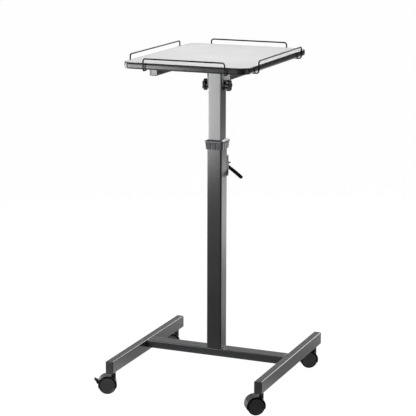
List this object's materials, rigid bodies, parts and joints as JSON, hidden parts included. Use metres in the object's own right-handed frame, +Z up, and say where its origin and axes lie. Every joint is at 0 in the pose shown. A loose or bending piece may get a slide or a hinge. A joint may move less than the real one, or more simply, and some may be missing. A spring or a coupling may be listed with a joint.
{
  "type": "audio visual cart",
  "caption": "Rolling stand with an H-shaped tube foot on hooded twin-wheel casters, a telescoping square mast and a tilting rounded tabletop with wire guards.",
  "frame": {"origin": "on the floor, under the middle of the cart's outline", "axes": "+Z up the mast; -Y towards the cart's front, with the clamping lever at the back; +X to the right as seen from the front; the tilt axis lies along X"},
  "size_m": [0.5815, 0.5759, 1.0782],
  "materials": {
    "graphite_paint": "fine semi-gloss powder coat",
    "silver_paint": "satin silver-grey coat",
    "table_laminate": "chipboard with a light grey laminate on both faces",
    "grey_moulding": "dark grey, satin",
    "black_plastic": "black, moulded, satin",
    "dark_plastic": "dark grey, satin",
    "grey_plastic": "mid grey, moulded",
    "light_plastic": "light grey, moulded",
    "white_nylon": "natural nylon",
    "wheel_tread": "dark grey, hard",
    "black_wire": "gloss black coat on steel wire",
    "zinc_steel": "bright zinc plate"
  },
  "bodies": {
    "base": {"left_runner": "graphite_paint", "right_runner": "graphite_paint", "crossbar": "graphite_paint", "front_left_end_cap": "dark_plastic", "back_left_end_cap": "dark_plastic", "front_right_end_cap": "dark_plastic", "back_right_end_cap": "dark_plastic", "lower_mast_tube": "graphite_paint", "mast_collar": "grey_plastic", "clamp_block": "graphite_paint", "pressure_pad": "white_nylon", "front_left_stem": "zinc_steel", "front_right_stem": "zinc_steel", "back_left_stem": "zinc_steel", "back_right_stem": "zinc_steel"},
    "mast": {"upper_mast_tube": "silver_paint", "mast_guide_sleeve": "white_nylon", "mast_top_cap": "dark_plastic", "pivot_rod": "zinc_steel", "left_friction_washer": "dark_plastic", "right_friction_washer": "dark_plastic"},
    "table": {"tabletop_board": "table_laminate", "edge_moulding": "grey_moulding", "left_support_rail": "graphite_paint", "right_support_rail": "graphite_paint", "front_left_rail_plug": "light_plastic", "back_left_rail_plug": "light_plastic", "front_right_rail_plug": "light_plastic", "back_right_rail_plug": "light_plastic", "cross_member": "graphite_paint", "tilt_bracket": "graphite_paint", "front_wire_guard": "black_wire", "back_wire_guard": "black_wire", "left_wire_guard": "black_wire", "right_wire_guard": "black_wire"},
    "left_knob": {"left_tilt_knob": "black_plastic"},
    "right_knob": {"right_tilt_knob": "black_plastic"},
    "clamp": {"clamp_lever": "black_plastic", "clamp_screw": "zinc_steel"},
    "front_left_caster": {"front_left_hood": "black_plastic", "front_left_axle": "zinc_steel"},
    "front_left_outer_wheel_body": {"front_left_outer_wheel": "wheel_tread"},
    "front_left_inner_wheel_body": {"front_left_inner_wheel": "wheel_tread"},
    "front_left_pedal": {"front_left_brake_pedal": "black_plastic"},
    "front_right_caster": {"front_right_hood": "black_plastic", "front_right_axle": "zinc_steel"},
    "front_right_outer_wheel_body": {"front_right_outer_wheel": "wheel_tread"},
    "front_right_inner_wheel_body": {"front_right_inner_wheel": "wheel_tread"},
    "back_left_caster": {"back_left_hood": "black_plastic", "back_left_axle": "zinc_steel"},
    "back_left_outer_wheel_body": {"back_left_outer_wheel": "wheel_tread"},
    "back_left_inner_wheel_body": {"back_left_inner_wheel": "wheel_tread"},
    "back_right_caster": {"back_right_hood": "black_plastic", "back_right_axle": "zinc_steel"},
    "back_right_outer_wheel_body": {"back_right_outer_wheel": "wheel_tread"},
    "back_right_inner_wheel_body": {"back_right_inner_wheel": "wheel_tread"},
    "back_right_pedal": {"back_right_brake_pedal": "black_plastic"}
  },
  "joints": [
    {"name": "mast_slide", "type": "slide", "parent": "base", "child": "mast", "axis": [0, 0, 1], "range_m": [-0.14, 0.2]},
    {"name": "table_tilt", "type": "hinge", "parent": "mast", "child": "table", "pos_m": [0.01715, 0.00673, 0.9675], "axis": [1, 0, 0], "range_deg": [-20, 20]},
    {"name": "left_knob_turn", "type": "hinge", "parent": "mast", "child": "left_knob", "pos_m": [-0.02285, 0.00673, 0.9675], "axis": [-1, 0, 0], "continuous": true},
    {"name": "right_knob_turn", "type": "hinge", "parent": "mast", "child": "right_knob", "pos_m": [0.05715, 0.00673, 0.9675], "axis": [1, 0, 0], "continuous": true},
    {"name": "clamp_lever_turn", "type": "hinge", "parent": "base", "child": "clamp", "pos_m": [0.01715, 0.04453, 0.706], "axis": [0, 1, 0], "range_deg": [0, 170]},
    {"name": "front_left_swivel", "type": "hinge", "parent": "base", "child": "front_left_caster", "pos_m": [-0.23385, -0.24277, 0.0675], "axis": [0, 0, 1], "continuous": true},
    {"name": "front_left_outer_wheel_roll", "type": "hinge", "parent": "front_left_caster", "child": "front_left_outer_wheel_body", "pos_m": [-0.25183, -0.25154, 0.0275], "axis": [-0.4384, 0.8988, 0], "continuous": true},
    {"name": "front_left_inner_wheel_roll", "type": "hinge", "parent": "front_left_caster", "child": "front_left_inner_wheel_body", "pos_m": [-0.25183, -0.25154, 0.0275], "axis": [-0.4384, 0.8988, 0], "continuous": true},
    {"name": "front_left_brake_press", "type": "hinge", "parent": "front_left_caster", "child": "front_left_pedal", "pos_m": [-0.2734, -0.26206, 0.0275], "axis": [0.4384, -0.8988, 0], "range_deg": [0, 18]},
    {"name": "front_right_swivel", "type": "hinge", "parent": "base", "child": "front_right_caster", "pos_m": [0.26815, -0.24277, 0.0675], "axis": [0, 0, 1], "continuous": true},
    {"name": "front_right_outer_wheel_roll", "type": "hinge", "parent": "front_right_caster", "child": "front_right_outer_wheel_body", "pos_m": [0.25157, -0.25395, 0.0275], "axis": [-0.5592, 0.829, 0], "continuous": true},
    {"name": "front_right_inner_wheel_roll", "type": "hinge", "parent": "front_right_caster", "child": "front_right_inner_wheel_body", "pos_m": [0.25157, -0.25395, 0.0275], "axis": [-0.5592, 0.829, 0], "continuous": true},
    {"name": "back_left_swivel", "type": "hinge", "parent": "base", "child": "back_left_caster", "pos_m": [-0.23385, 0.25623, 0.0675], "axis": [0, 0, 1], "continuous": true},
    {"name": "back_left_outer_wheel_roll", "type": "hinge", "parent": "back_left_caster", "child": "back_left_outer_wheel_body", "pos_m": [-0.25117, 0.24623, 0.0275], "axis": [-0.5, 0.866, 0], "continuous": true},
    {"name": "back_left_inner_wheel_roll", "type": "hinge", "parent": "back_left_caster", "child": "back_left_inner_wheel_body", "pos_m": [-0.25117, 0.24623, 0.0275], "axis": [-0.5, 0.866, 0], "continuous": true},
    {"name": "back_right_swivel", "type": "hinge", "parent": "base", "child": "back_right_caster", "pos_m": [0.26815, 0.25623, 0.0675], "axis": [0, 0, 1], "continuous": true},
    {"name": "back_right_outer_wheel_roll", "type": "hinge", "parent": "back_right_caster", "child": "back_right_outer_wheel_body", "pos_m": [0.25083, 0.24623, 0.0275], "axis": [-0.5, 0.866, 0], "continuous": true},
    {"name": "back_right_inner_wheel_roll", "type": "hinge", "parent": "back_right_caster", "child": "back_right_inner_wheel_body", "pos_m": [0.25083, 0.24623, 0.0275], "axis": [-0.5, 0.866, 0], "continuous": true},
    {"name": "back_right_brake_press", "type": "hinge", "parent": "back_right_caster", "child": "back_right_pedal", "pos_m": [0.23004, 0.23423, 0.0275], "axis": [0.5, -0.866, 0], "range_deg": [0, 18]}
  ]
}
